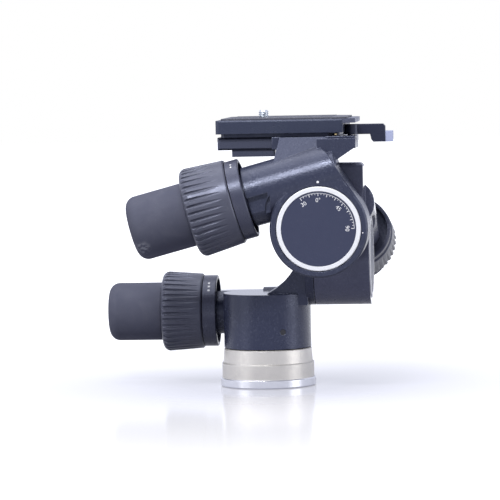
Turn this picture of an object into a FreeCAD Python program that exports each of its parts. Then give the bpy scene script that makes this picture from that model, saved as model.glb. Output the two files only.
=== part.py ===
import FreeCAD, Part
import math
import os
import Sketcher

# Geared tripod head: three worm-geared axes stacked on a turned base, with a quick-release plate.
# Origin: centre of the base's underside, on the pan axis. +Z up. The tilt dial faces -Y and the
# pan and front-tilt knobs point to -X. All sizes are in millimetres and degrees.

SIZES = {
    # general fits
    "fit": 0.05,                # radial running clearance of a shaft in its bush
    "gap": 0.4,                 # air between parts that turn past each other
    "play": 0.2,                # clearance on each flank of a worm thread
    # base, three turned bands
    "base_radius": 30.0,
    "base_foot_height": 5.45,
    "base_mid_radius": 28.9,
    "base_mid_top": 15.0,
    "base_top_radius": 28.1,
    "base_height": 23.8,
    "base_lip_radius": 27.5,
    "band_step": 0.6,
    "socket_radius": 4.0,       # tapping bore of the 3/8 inch thread
    "base_screw_circle": 9.0,
    "base_screw_radius": 1.5,
    # pan axis
    "pan_body_radius": 27.4,
    "pan_body_height": 34.6,    # above the base
    "pan_worm_rise": 21.5,      # above the base
    "pan_module": 0.8,
    "pan_worm_radius": 6.3,
    "tooth_count": 48,
    "wheel_width": 9.0,
    "pan_room_air": 1.8,        # round the wheel's teeth inside the housing
    "pan_shaft_radius": 9.0,
    "pan_flange_radius": 17.0,
    "retainer_thickness": 3.0,
    "plug_radius": 1.9,
    "plug_rise": 11.2,          # above the base
    "plug_turn": 25.0,
    # lateral tilt axis, along X
    "lateral_rise": 56.2,       # above the base
    "tilt_module": 0.95,
    "tilt_worm_radius": 6.8,
    "drum_radius": 29.8,
    "flange_face": 31.0,
    "flange_thickness": 5.2,
    "arm_width": 36.0,
    "arm_radius": 43.0,
    "lateral_worm_x": 54.2,
    "lateral_face": 66.0,
    "lateral_incline": 17.0,
    "spindle_radius": 9.0,
    "spindle_collar": 12.0,
    # front tilt axis, along Y
    "front_x": 38.1,
    "front_rise": 21.8,         # above the lateral axis
    "front_worm_y": -58.0,
    "drum_width": 36.4,
    "front_incline": 15.0,
    "tube_radius": 18.5,
    "cheek_angle": 34.0,        # of the straight side's normal, above level
    "cheek_round": 11.0,
    "cheek_step": 1.1,
    "pocket_end": 23.7,
    "pocket_depth": 2.6,
    "boss_radius": 15.8,
    # dials
    "dial_radius": 22.8,
    "dial_ring_radius": 25.6,
    "dial_depth": 3.0,
    "dial_proud": 0.6,
    # neck and quick-release seat
    "neck_left": 13.0,
    "neck_right": 49.0,
    "neck_front": -74.0,
    "neck_back": -42.0,
    "shelf_back": 24.0,
    "shelf_height": 7.6,
    "seat_rise": 55.0,          # above the front tilt axis
    "seat_foot": 2.2,
    "seat_depth": 10.5,
    "seat_rim": 3.0,
    "seat_left": -26.4,
    "seat_right": 51.6,
    "plate_left": -24.8,
    "plate_right": 58.8,
    "plate_width": 82.0,
    "plate_proud": 1.0,
    "plate_thickness": 2.8,
    "plate_corner": 3.0,
    "pad_thickness": 0.9,
    "screw_radius": 3.175,      # 1/4 inch camera thread
    "screw_height": 4.6,
    "lever_length": 21.1,
    "lever_width": 7.4,
    "lever_hub": 5.2,
    "lever_drop": 4.9,
    "tip_length": 4.8,
    "catch_radius": 0.75,
    # knobs: large one on the front tilt, middle one on pan, small one on lateral tilt
    "large_barrel": 19.8,
    "large_collar": 27.6,
    "large_ring": 24.6,
    "middle_barrel": 18.35,
    "middle_collar": 25.3,
    "middle_ring": 22.6,
    "small_barrel": 17.7,
    "small_collar": 24.2,
    "small_ring": 21.8,
    "grip_wall": 2.6,
    "ring_length_small": 7.4,
    "ring_length_middle": 8.6,
    "ring_length_large": 8.0,
    "collar_taper": 1.5,
    "collar_length_small": 26.4,
    "collar_length_middle": 26.0,
    "collar_length_large": 28.6,
    "barrel_length_small": 35.0,
    "barrel_length_middle": 35.1,
    "barrel_length_large": 37.5,
    "pan_ring_at": 33.1,
    "lateral_ring_at": 49.0,
    "front_ring_at": 37.4,
    "flute_count": 40,
    "flute_depth": 1.4,
    "flute_width": 2.4,
    "flute_run": 20.5,
    "collar_round": 4.2,
    "worm_shaft_radius": 4.0,
    "sleeve_radius": 9.0,
    "spigot_radius": 11.4,
    "worm_length": 17.0,
}

doc = FreeCAD.newDocument("geared_head")
sheet = doc.addObject("Spreadsheet::Sheet", "Sizes")
for row, (alias, value) in enumerate(SIZES.items(), 1):
    sheet.set(f"A{row}", alias)
    sheet.set(f"B{row}", str(value))
    sheet.setAlias(f"B{row}", alias)
doc.recompute()


class Size:
    """A size with its value now and the sheet expression that keeps it current."""

    def __init__(self, value, text):
        self.value = value
        self.text = text

    def _with(self, other, sign, work):
        other = other if isinstance(other, Size) else Size(float(other), repr(float(other)))
        return Size(work(self.value, other.value), f"({self.text} {sign} {other.text})")

    def __add__(self, other):
        return self._with(other, "+", lambda a, b: a + b)

    def __sub__(self, other):
        return self._with(other, "-", lambda a, b: a - b)

    def __mul__(self, other):
        return self._with(other, "*", lambda a, b: a * b)

    def __truediv__(self, other):
        return self._with(other, "/", lambda a, b: a / b)

    def __neg__(self):
        return self * -1.0

    __radd__ = __add__
    __rmul__ = __mul__

    def __rsub__(self, other):
        return -self + other


class Sheet:
    """Reads a size by its alias."""

    def __getattr__(self, alias):
        return Size(float(SIZES[alias]), f"Sizes.{alias}")


S = Sheet()

# heights, each built on the one below it
PAN_WORM_Z = S.base_height + S.pan_worm_rise
PAN_TOP = S.base_height + S.pan_body_height
LATERAL_Z = S.base_height + S.lateral_rise
FRONT_Z = LATERAL_Z + S.front_rise
SEAT_Z = FRONT_Z + S.seat_rise
SEAT_TOP = SEAT_Z + S.seat_depth
PLATE_TOP = SEAT_TOP + S.plate_proud


def sine(angle):
    return Size(math.sin(math.radians(angle.value)), f"sin({angle.text})")


def cosine(angle):
    return Size(math.cos(math.radians(angle.value)), f"cos({angle.text})")


def number(size):
    return size.value if isinstance(size, Size) else float(size)


def bind(thing, name, size):
    """Sets a property and ties it to the sheet; plain numbers are only set."""
    if "." not in name:
        setattr(thing, name, number(size))
    if isinstance(size, Size):
        thing.setExpression(name, size.text)


class Place:
    """A point, and a turn about +X or +Y that points local +Z along an axis of the head."""

    def __init__(self, x=0.0, y=0.0, z=0.0, axis=None, angle=0.0):
        self.point = (x, y, z)
        self.axis = axis or FreeCAD.Vector(0, 0, 1)
        self.angle = angle

    def put(self, thing):
        base = FreeCAD.Vector(*[number(v) for v in self.point])
        turn = FreeCAD.Rotation(self.axis, number(self.angle))
        thing.Placement = FreeCAD.Placement(base, turn)
        for name, value in zip("xyz", self.point):
            if isinstance(value, Size):
                thing.setExpression(f"Placement.Base.{name}", value.text)
        if isinstance(self.angle, Size):
            thing.setExpression("Placement.Rotation.Angle", self.angle.text)
        return thing

    def along(self, reach):
        """The same turn, moved along the local axis."""
        if self.axis.x:
            step = (0.0, -sine(self._angle()), cosine(self._angle()))
        elif self.axis.y:
            step = (sine(self._angle()), 0.0, cosine(self._angle()))
        else:
            step = (0.0, 0.0, 1.0)
        point = [p if s == 0.0 else p + reach * s for p, s in zip(self.point, step)]
        return Place(*point, axis=self.axis, angle=self.angle)

    def _angle(self):
        return self.angle if isinstance(self.angle, Size) else Size(self.angle, repr(self.angle))


X_AXIS = FreeCAD.Vector(1, 0, 0)
Y_AXIS = FreeCAD.Vector(0, 1, 0)


# ---- sketches and features ----


def fix_point(sketch, geometry, end, x, y):
    """Ties a sketch point to the sketch's origin."""
    for kind, size, line in (("DistanceX", x, -2), ("DistanceY", y, -1)):
        if abs(number(size)) < 1e-9:
            sketch.addConstraint(Sketcher.Constraint("PointOnObject", geometry, end, line))
            continue
        rule = Sketcher.Constraint(kind, -1, 1, geometry, end, number(size))
        index = sketch.addConstraint(rule)
        if isinstance(size, Size):
            sketch.setExpression(f"Constraints[{index}]", size.text)


def set_radius(sketch, geometry, size):
    index = sketch.addConstraint(Sketcher.Constraint("Radius", geometry, number(size)))
    if isinstance(size, Size):
        sketch.setExpression(f"Constraints[{index}]", size.text)


def arc_between(start, end, radius, clockwise):
    """The short arc from start to end, as an anticlockwise Part arc."""
    middle = (start + end) * 0.5
    chord = end - start
    rise = math.sqrt(max(radius ** 2 - (chord.Length / 2) ** 2, 0.0))
    side = FreeCAD.Vector(-chord.y, chord.x, 0).normalize()
    centre = middle - side * rise if clockwise else middle + side * rise
    first, last = (end, start) if clockwise else (start, end)
    circle = Part.Circle(centre, FreeCAD.Vector(0, 0, 1), radius)
    angles = [math.atan2(p.y - centre.y, p.x - centre.x) for p in (first, last)]
    return Part.ArcOfCircle(circle, angles[0], angles[1])


def outline(sketch, points):
    """A closed outline. A point is (x, y), or (x, y, radius, "cw" or "ccw") at the end of an arc."""
    spots = [FreeCAD.Vector(number(p[0]), number(p[1]), 0) for p in points]
    pieces = []
    for i in range(len(points)):
        start, end = spots[i], spots[(i + 1) % len(points)]
        goal = points[(i + 1) % len(points)]
        if len(goal) == 2:
            geometry = sketch.addGeometry(Part.LineSegment(start, end), False)
            pieces.append((geometry, 1, 2))
            continue
        clockwise = goal[3] == "cw"
        arc = arc_between(start, end, number(goal[2]), clockwise)
        geometry = sketch.addGeometry(arc, False)
        set_radius(sketch, geometry, goal[2])
        pieces.append((geometry, 2, 1) if clockwise else (geometry, 1, 2))
    for i, (geometry, first, last) in enumerate(pieces):
        after, after_first, _ = pieces[(i + 1) % len(pieces)]
        rule = Sketcher.Constraint("Coincident", geometry, last, after, after_first)
        sketch.addConstraint(rule)
        fix_point(sketch, geometry, first, points[i][0], points[i][1])


def circle(sketch, x, y, radius):
    centre = FreeCAD.Vector(number(x), number(y), 0)
    shape = Part.Circle(centre, FreeCAD.Vector(0, 0, 1), number(radius))
    geometry = sketch.addGeometry(shape, False)
    fix_point(sketch, geometry, 3, x, y)
    set_radius(sketch, geometry, radius)


def new_body(label, place=None):
    body = doc.addObject("PartDesign::Body", label)
    body.Label = label
    if place:
        place.put(body)
    return body


def new_sketch(body, plane, offset=None, turn=None):
    """A sketch on one of the body's origin planes, lifted by offset and turned by (axis, angle)."""
    sketch = body.newObject("Sketcher::SketchObject", body.Label + "_sketch")
    planes = [f for f in body.Origin.OriginFeatures if f.Role == plane + "_Plane"]
    sketch.AttachmentSupport = [(planes[0], "")]
    sketch.MapMode = "FlatFace"
    if offset is not None or turn is not None:
        axis, angle = turn or (FreeCAD.Vector(0, 0, 1), 0.0)
        base = FreeCAD.Vector(0, 0, number(offset or 0.0))
        rotation = FreeCAD.Rotation(axis, number(angle))
        sketch.AttachmentOffset = FreeCAD.Placement(base, rotation)
        if isinstance(offset, Size):
            sketch.setExpression("AttachmentOffset.Base.z", offset.text)
        if isinstance(angle, Size):
            sketch.setExpression("AttachmentOffset.Rotation.Angle", angle.text)
    return sketch


def revolve(body, points, cut=False):
    """A turned form about the body's Z axis; points are (radius, height)."""
    sketch = new_sketch(body, "XZ")
    outline(sketch, points)
    kind = "Groove" if cut else "Revolution"
    feature = body.newObject("PartDesign::" + kind, body.Label + "_turned")
    feature.Profile = sketch
    feature.ReferenceAxis = (sketch, ["V_Axis"])
    feature.Angle = 360.0
    return feature


def extrude(body, draw, length, plane="XY", offset=None, turn=None, cut=False,
            both=False, back=False):
    """Pads or pockets what draw puts in a sketch."""
    sketch = new_sketch(body, plane, offset, turn)
    draw(sketch)
    kind = "Pocket" if cut else "Pad"
    feature = body.newObject("PartDesign::" + kind, body.Label + "_" + kind.lower())
    feature.Profile = sketch
    bind(feature, "Length", length)
    if both:
        feature.SideType = "Symmetric"
    feature.Reversed = back
    return feature


def around(body, feature, count):
    """Repeats a feature evenly around the body's Z axis."""
    pattern = body.newObject("PartDesign::PolarPattern", body.Label + "_pattern")
    pattern.Originals = [feature]
    axes = [f for f in body.Origin.OriginFeatures if f.Role == "Z_Axis"]
    pattern.Axis = (axes[0], [""])
    pattern.Angle = 360.0
    pattern.Occurrences = int(number(count))
    if isinstance(count, Size):
        pattern.setExpression("Occurrences", count.text)
    body.Tip = pattern
    return pattern


def edges_where(shape, test):
    """The names of the edges that pass a test."""
    return [f"Edge{i}" for i, edge in enumerate(shape.Edges, 1) if test(edge)]


def dress(body, kind, size, test):
    """A fillet or chamfer on the body's edges that pass a test."""
    doc.recompute()
    names = edges_where(body.Tip.Shape, test)
    if not names:
        raise ValueError(f"no edge to {kind} on {body.Label}")
    feature = body.newObject("PartDesign::" + kind, body.Label + "_" + kind.lower())
    feature.Base = (body.Tip if body.Tip != feature else body.Group[-2], names)
    bind(feature, "Radius" if kind == "Fillet" else "Size", size)
    doc.recompute()
    return feature


def round_edge(height, radius, slack=0.05):
    """A test for a whole circle at a height and radius of a turned body."""
    def test(edge):
        curve = edge.Curve
        if not isinstance(curve, Part.Circle):
            return False
        return (abs(curve.Center.z - number(height)) < slack
                and abs(curve.Radius - number(radius)) < slack)
    return test


def cylinder(radius, length, place, name="cylinder"):
    thing = doc.addObject("Part::Cylinder", name)
    bind(thing, "Radius", radius)
    bind(thing, "Height", length)
    return place.put(thing)


def box(x, y, z, place, name="box"):
    thing = doc.addObject("Part::Box", name)
    bind(thing, "Length", x)
    bind(thing, "Width", y)
    bind(thing, "Height", z)
    return place.put(thing)


def hex_socket(corner, depth, place):
    """Six-sided recess of a socket screw, by its radius to the corners."""
    thing = doc.addObject("Part::Prism", "hex_socket")
    thing.Polygon = 6
    bind(thing, "Circumradius", corner)
    bind(thing, "Height", depth)
    return place.put(thing)


def prism(draw, start, length, plane, name="prism"):
    """A Part extrusion of a sketch that lies in XZ (towards +Y) or YZ (towards +X)."""
    sketch = doc.addObject("Sketcher::SketchObject", name + "_sketch")
    draw(sketch)
    if plane == "XZ":
        turn = FreeCAD.Rotation(X_AXIS, 90)
        sketch.Placement = FreeCAD.Placement(FreeCAD.Vector(0, number(start), 0), turn)
        where, way = "Placement.Base.y", FreeCAD.Vector(0, 1, 0)
    else:
        turn = FreeCAD.Rotation(FreeCAD.Vector(1, 1, 1), 120)
        sketch.Placement = FreeCAD.Placement(FreeCAD.Vector(number(start), 0, 0), turn)
        where, way = "Placement.Base.x", FreeCAD.Vector(1, 0, 0)
    if isinstance(start, Size):
        sketch.setExpression(where, start.text)
    thing = doc.addObject("Part::Extrusion", name)
    thing.Base = sketch
    thing.DirMode = "Custom"
    thing.Dir = way
    thing.Solid = True
    bind(thing, "LengthFwd", length)
    return thing


def fuse(things, name="joined"):
    thing = doc.addObject("Part::MultiFuse", name)
    thing.Shapes = things
    thing.Refine = True
    return thing


def cut(base, tool, label):
    thing = doc.addObject("Part::Cut", label)
    thing.Base = base
    thing.Tool = tool
    thing.Label = label
    return thing


def group(things, label):
    """Several separate solids in one sub-part."""
    thing = doc.addObject("Part::Compound", label)
    thing.Links = things
    thing.Label = label
    return thing


# ---- base ----


def base_disc():
    """Turned aluminium base: three bands, each with a bright stepped edge, and the tripod thread."""
    body = new_body("base_disc")
    step = S.band_step
    revolve(body, [
        (S.socket_radius, 0.0),
        (S.base_radius - step, 0.0),
        (S.base_radius, step),
        (S.base_radius, S.base_foot_height - step),
        (S.base_radius - step, S.base_foot_height),
        (S.base_mid_radius, S.base_foot_height),
        (S.base_mid_radius, S.base_mid_top - step),
        (S.base_mid_radius - step, S.base_mid_top),
        (S.base_top_radius, S.base_mid_top),
        (S.base_lip_radius, S.base_height - step),
        (S.base_lip_radius - step, S.base_height),
        (S.socket_radius, S.base_height),
    ])

    def screw_hole(sketch):
        circle(sketch, S.base_screw_circle, 0.0, S.base_screw_radius)

    def screw_head(sketch):
        circle(sketch, S.base_screw_circle, 0.0, S.base_screw_radius * 1.9)

    hole = extrude(body, screw_hole, S.base_height, cut=True, back=True)
    around(body, hole, 3)
    sink = extrude(body, screw_head, S.base_screw_radius * 2.4, cut=True, back=True)
    around(body, sink, 3)
    return body


def base_screws():
    """Three cap screws that hold the spindle to the base from below."""
    screws = []
    for i in range(3):
        turn = math.radians(120 * i)
        x = S.base_screw_circle * math.cos(turn)
        y = S.base_screw_circle * math.sin(turn)
        head = cylinder(S.base_screw_radius * 1.8, S.base_screw_radius * 2.0,
                        Place(x, y, S.base_screw_radius * 0.4))
        shank = cylinder(S.base_screw_radius, S.base_height + 2.0 - S.base_screw_radius,
                         Place(x, y, S.base_screw_radius))
        socket = hex_socket(S.base_screw_radius, S.base_screw_radius + 0.5,
                            Place(x, y, S.base_screw_radius * 0.4 - 0.5))
        screws.append(cut(fuse([head, shank], "base_screw_blank"), socket, f"base_screw_{i}"))
    return group(screws, "base_screws")


def pan_spindle():
    """Steel post on the base. Its flange keeps the housing down; the worm wheel sits on its top."""
    body = new_body("pan_spindle")
    half = S.wheel_width / 2
    under = S.base_height + S.retainer_thickness + S.gap * 2 + 0.4
    top = PAN_WORM_Z + half + 3.4
    revolve(body, [
        (0.0, S.base_height),
        (S.spindle_collar, S.base_height),
        (S.spindle_collar, under),
        (S.pan_flange_radius, under),
        (S.pan_flange_radius, under + 3.0),
        (S.pan_shaft_radius + 2.0, under + 3.0),
        (S.pan_shaft_radius + 2.0, PAN_WORM_Z - half),
        (S.pan_shaft_radius, PAN_WORM_Z - half),
        (S.pan_shaft_radius, top),
        (0.0, top),
    ])

    def screw_hole(sketch):
        circle(sketch, S.base_screw_circle, 0.0, S.base_screw_radius)

    hole = extrude(body, screw_hole, 2.4, offset=S.base_height, cut=True, back=True)
    around(body, hole, 3)
    return body


def ring(label, inner, outer, bottom, top, place=None):
    """A plain turned ring."""
    body = new_body(label, place)
    revolve(body, [(inner, bottom), (outer, bottom), (outer, top), (inner, top)])
    return body


# ---- worm gears ----


def worm_wheel(label, module, worm_radius, place, first_gap):
    """Bronze wheel with straight teeth cut at the worm's lead angle."""
    body = new_body(label, place)
    pitch_radius = module * S.tooth_count / 2
    half = S.wheel_width / 2
    bore = S.spindle_radius
    tip = pitch_radius + module
    revolve(body, [(bore, -half), (tip, -half), (tip, half), (bore, half)])
    lean = math.tan(math.radians(20.0))
    root = pitch_radius - module * 1.25 - S.play
    half_gap = module * (math.pi / 4)
    floor = half_gap - (pitch_radius - root) * lean
    mouth = half_gap + (tip + 0.5 - pitch_radius) * lean

    def gap(sketch):
        outline(sketch, [
            (root, -floor),
            (tip + 0.5, -mouth),
            (tip + 0.5, mouth),
            (root, floor),
        ])

    feature = extrude(body, gap, S.wheel_width * 1.5, cut=True, both=True)
    lead = math.degrees(math.atan(number(module) / (2 * number(worm_radius))))
    sketch = feature.Profile[0]
    turn = FreeCAD.Rotation(FreeCAD.Vector(0, 0, 1), first_gap)
    turn = turn.multiply(FreeCAD.Rotation(X_AXIS, -lead))
    sketch.AttachmentOffset = FreeCAD.Placement(FreeCAD.Vector(0, 0, 0), turn)
    around(body, feature, S.tooth_count)
    return body


def wheel_nut(label, place, height):
    """Hexagonal nut that clamps a worm wheel to its spindle."""
    body = new_body(label, place)
    corner = S.spindle_radius + 4.6

    def hexagon(sketch):
        points = []
        for i in range(6):
            turn = math.radians(60 * i)
            points.append((corner * math.cos(turn), corner * math.sin(turn)))
        outline(sketch, points)
        circle(sketch, 0.0, 0.0, S.spindle_radius)

    extrude(body, hexagon, height)
    return body


def worm(knob):
    """Worm cut on the knob's shaft: a trapezoid thread swept along its helix."""
    body = new_body(knob.name + "_worm", knob.place)
    module, pitch_radius = knob.module, knob.worm_radius
    root = pitch_radius - module * 1.25
    half = S.worm_length / 2
    journal = S.worm_shaft_radius - 1.0
    revolve(body, [
        (0.0, -half - 6.0),
        (journal, -half - 6.0),
        (journal, -half),
        (root, -half),
        (root, half),
        (S.worm_shaft_radius, half),
        (S.worm_shaft_radius, knob.end - 5.0),
        (0.0, knob.end - 5.0),
    ])
    lean = math.tan(math.radians(20.0))
    pitch = module * math.pi
    start = pitch * (-2.0 - knob.facing / 360.0)
    inner, outer = root - 0.4, pitch_radius + module
    wide = pitch / 4 - S.play + (pitch_radius - inner) * lean
    narrow = pitch / 4 - S.play - (outer - pitch_radius) * lean
    sketch = new_sketch(body, "XZ")
    outline(sketch, [
        (inner, start - wide),
        (outer, start - narrow),
        (outer, start + narrow),
        (inner, start + wide),
    ])
    thread = body.newObject("PartDesign::AdditiveHelix", body.Label + "_thread")
    thread.Profile = sketch
    thread.ReferenceAxis = (sketch, ["V_Axis"])
    thread.Mode = "pitch-turns-angle"
    bind(thread, "Pitch", pitch)
    thread.Turns = 5.0
    thread.LeftHanded = False
    thread.Reversed = False
    return body


# ---- knobs ----


class Knob:
    """One worm knob: where its worm lies and the sizes of its turned parts."""

    def __init__(self, name, place, facing, module, worm_radius, ring_at, kind):
        self.name = name
        self.place = place
        self.facing = facing
        self.module = module
        self.worm_radius = worm_radius
        self.ring_at = ring_at
        self.barrel = getattr(S, kind + "_barrel")
        self.collar = getattr(S, kind + "_collar")
        self.ring = getattr(S, kind + "_ring")
        ring_length = getattr(S, "ring_length_" + kind)
        self.web = ring_at + ring_length - 2.4
        self.collar_at = ring_at + ring_length + S.gap
        self.collar_end = self.collar_at + getattr(S, "collar_length_" + kind)
        self.end = self.collar_end + getattr(S, "barrel_length_" + kind)
        self.spigot_end = self.collar_at + 4.4
        self.grip_at = self.collar_end + 0.3


def knob_parts(knob):
    """The bushes, index ring, clutch spring and collar, and the turning core and grip."""
    name, place = knob.name, knob.place
    shaft = S.worm_shaft_radius
    half = S.worm_length / 2
    ring(name + "_end_bush", shaft - 1.0 + S.fit, shaft + 1.5, -half - 6.0, -half - 0.6, place)
    ring(name + "_sleeve", shaft + S.fit, S.sleeve_radius, half + 4.4, knob.spigot_end, place)

    # index ring: a thin bell that hides the clutch from the housing side
    body = new_body(name + "_index_ring", place)
    revolve(body, [
        (S.spigot_radius, knob.web),
        (knob.ring - 2.2, knob.web),
        (knob.ring - 2.2, knob.ring_at),
        (knob.ring - 0.5, knob.ring_at),
        (knob.ring, knob.ring_at + 0.5),
        (knob.ring, knob.web + 2.4),
        (S.spigot_radius, knob.web + 2.4),
    ])

    # spring washer that holds the clutch collar in gear
    low = knob.web + 2.4
    spring = new_body(name + "_clutch_spring", place)
    revolve(spring, [
        (S.spigot_radius + 0.3, low),
        (S.spigot_radius + 0.9, low),
        (S.spigot_radius + 3.4, low + 1.0),
        (S.spigot_radius + 3.4, low + 1.5),
        (S.spigot_radius + 2.8, low + 1.5),
        (S.spigot_radius + 0.3, low + 0.5),
    ])

    collar_body(knob)

    # turning core, clear of the collar, with the shaft pressed through it
    core = new_body(name + "_core", place)
    flange = knob.collar_at + 4.4 + S.gap
    neck = knob.barrel - S.grip_wall
    revolve(core, [
        (shaft, flange),
        (knob.collar - 6.4, flange),
        (knob.collar - 6.4, flange + 3.0),
        (knob.barrel - 0.3, flange + 3.0),
        (knob.barrel - 0.3, knob.grip_at),
        (neck, knob.grip_at),
        (neck, knob.end - 3.0),
        (shaft, knob.end - 3.0),
    ])

    # rubber grip with a rounded, slightly domed end
    grip = new_body(name + "_grip", place)
    corner = 6.4
    revolve(grip, [
        (neck, knob.grip_at),
        (knob.barrel, knob.grip_at),
        (knob.barrel, knob.end - corner - 0.6),
        (knob.barrel - corner, knob.end - 0.6, corner, "ccw"),
        (0.0, knob.end),
        (0.0, knob.end - 3.0),
        (neck, knob.end - 3.0),
    ])
    worm(knob)


def collar_body(knob):
    """Ribbed clutch collar: round flutes that run out in a long point before the body side."""
    collar = new_body(knob.name + "_collar", knob.place)
    outer, low, high = knob.collar, knob.collar_at, knob.collar_end
    small = outer - S.collar_taper
    revolve(collar, [
        (S.spigot_radius + S.fit, low + 2.0),
        (S.spigot_radius + 4.0, low + 2.0),
        (S.spigot_radius + 4.0, low),
        (small - 0.8, low),
        (small, low + 0.8),
        (outer, high - S.collar_round),
        (outer - S.collar_round, high, S.collar_round, "ccw"),
        (outer - 5.0, high),
        (outer - 5.6, high - 3.0),
        (outer - 5.6, low + 4.4),
        (S.spigot_radius + S.fit, low + 4.4),
    ])
    floor = outer - S.flute_depth
    fall = number(S.collar_taper) / (number(high - low) - number(S.collar_round) - 0.8)
    tilt = -math.degrees(math.atan(number(S.flute_depth) / number(S.flute_run) - fall))

    def flute(sketch):
        circle(sketch, floor + S.flute_width / 2, 0.0, S.flute_width / 2)

    turn = (Y_AXIS, tilt)
    cutter = extrude(collar, flute, S.flute_run * 1.3, offset=high, turn=turn, cut=True)
    around(collar, cutter, S.flute_count)
    return collar


def knob_bores(knob):
    """What a casting loses for one worm: end bush seat, worm room and sleeve bore."""
    shaft = S.worm_shaft_radius
    half = S.worm_length / 2
    tip = knob.worm_radius + knob.module + 0.6
    at = knob.place.along
    return [
        cylinder(shaft + 1.5, 7.0, at(-half - 6.4)),
        cylinder(tip, S.worm_length + 5.0, at(-half - 0.6)),
        cylinder(S.sleeve_radius, knob.spigot_end, at(half + 4.4)),
    ]


def knob_snout(knob, tube, start):
    """What a casting gains for one worm: tube, boss inside the index ring, and spigot."""
    at = knob.place.along
    return [
        cylinder(tube, knob.ring_at - start - 0.5, at(start)),
        cylinder(S.boss_radius - 1.0, knob.web - start, at(start)),
        cylinder(S.spigot_radius, knob.spigot_end - start, at(start)),
    ]


def centre_distance(module, worm_radius):
    return module * S.tooth_count / 2 + worm_radius


PAN_REACH = centre_distance(S.pan_module, S.pan_worm_radius)
PAN_ROOM = S.pan_module * (S.tooth_count / 2 + 1.0) + S.pan_room_air
TILT_REACH = centre_distance(S.tilt_module, S.tilt_worm_radius)

PAN = Knob(
    "pan",
    Place(0.0, PAN_REACH, PAN_WORM_Z, Y_AXIS, -90.0),
    270.0, S.pan_module, S.pan_worm_radius, S.pan_ring_at, "middle",
)
LATERAL = Knob(
    "lateral",
    Place(
        S.lateral_worm_x,
        TILT_REACH * sine(S.lateral_incline),
        LATERAL_Z + TILT_REACH * cosine(S.lateral_incline),
        X_AXIS, -S.lateral_incline - 90.0,
    ),
    90.0, S.tilt_module, S.tilt_worm_radius, S.lateral_ring_at, "small",
)
FRONT = Knob(
    "front",
    Place(
        S.front_x - TILT_REACH * sine(S.front_incline),
        S.front_worm_y,
        FRONT_Z + TILT_REACH * cosine(S.front_incline),
        Y_AXIS, -S.front_incline - 90.0,
    ),
    180.0, S.tilt_module, S.tilt_worm_radius, S.front_ring_at, "large",
)


# ---- tilt wheel stacks: spindle, wheel, nut, dial and dial ring ----


class Stack:
    """What stands on one tilt axis; local +Z runs from the carrying flange out to the dial."""

    def __init__(self, name, place, wheel_at, width, first_gap):
        self.name = name
        self.place = place
        self.wheel_at = wheel_at
        self.width = width
        self.first_gap = first_gap
        self.dial_back = width + S.gap + S.dial_proud - S.dial_depth


def stack_parts(stack):
    name, place = stack.name, stack.place
    half = S.wheel_width / 2
    spindle = new_body(name + "_spindle", place)
    revolve(spindle, [
        (0.0, -S.flange_thickness),
        (S.spindle_collar, -S.flange_thickness),
        (S.spindle_collar, stack.wheel_at - half),
        (S.spindle_radius, stack.wheel_at - half),
        (S.spindle_radius, stack.dial_back),
        (0.0, stack.dial_back),
    ])
    worm_wheel(name + "_worm_wheel", S.tilt_module, S.tilt_worm_radius,
               place.along(stack.wheel_at), stack.first_gap)
    wheel_nut(name + "_wheel_nut", place.along(stack.wheel_at + half), 3.2)
    front = stack.dial_back + S.dial_depth
    dial = new_body(name + "_dial", place)
    revolve(dial, [
        (0.0, stack.dial_back),
        (S.dial_radius, stack.dial_back),
        (S.dial_radius, front - 0.3),
        (0.0, front - 0.3),
    ])
    rim = new_body(name + "_dial_ring", place)
    revolve(rim, [
        (S.dial_radius, stack.dial_back),
        (S.dial_ring_radius, stack.dial_back),
        (S.dial_ring_radius, front - 0.4),
        (S.dial_ring_radius - 0.4, front),
        (S.dial_radius, front),
    ])


def stack_bores(stack):
    """What the drum loses: running bore for the spindle, wheel room and dial seat."""
    at = stack.place.along
    wall = 5.6
    return [
        cylinder(S.spindle_collar + S.fit, wall + 2.0, at(S.gap - 1.0)),
        cylinder(S.dial_ring_radius - 1.2, stack.width, at(S.gap + wall)),
        cylinder(S.dial_ring_radius + S.gap, S.dial_depth + 2.0, at(stack.dial_back - 0.3)),
    ]


LATERAL_STACK = Stack(
    "lateral",
    Place(S.flange_face, 0.0, LATERAL_Z, Y_AXIS, 90.0),
    S.lateral_worm_x - S.flange_face,
    S.lateral_face - S.flange_face - S.gap,
    180.0 - SIZES["lateral_incline"],
)
FRONT_FLANGE = S.front_worm_y + S.drum_width / 2 + S.gap
FRONT_STACK = Stack(
    "front",
    Place(S.front_x, FRONT_FLANGE, FRONT_Z, X_AXIS, 90.0),
    S.drum_width / 2 + S.gap,
    S.drum_width,
    90.0 + SIZES["front_incline"],
)


# ---- castings ----


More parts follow.
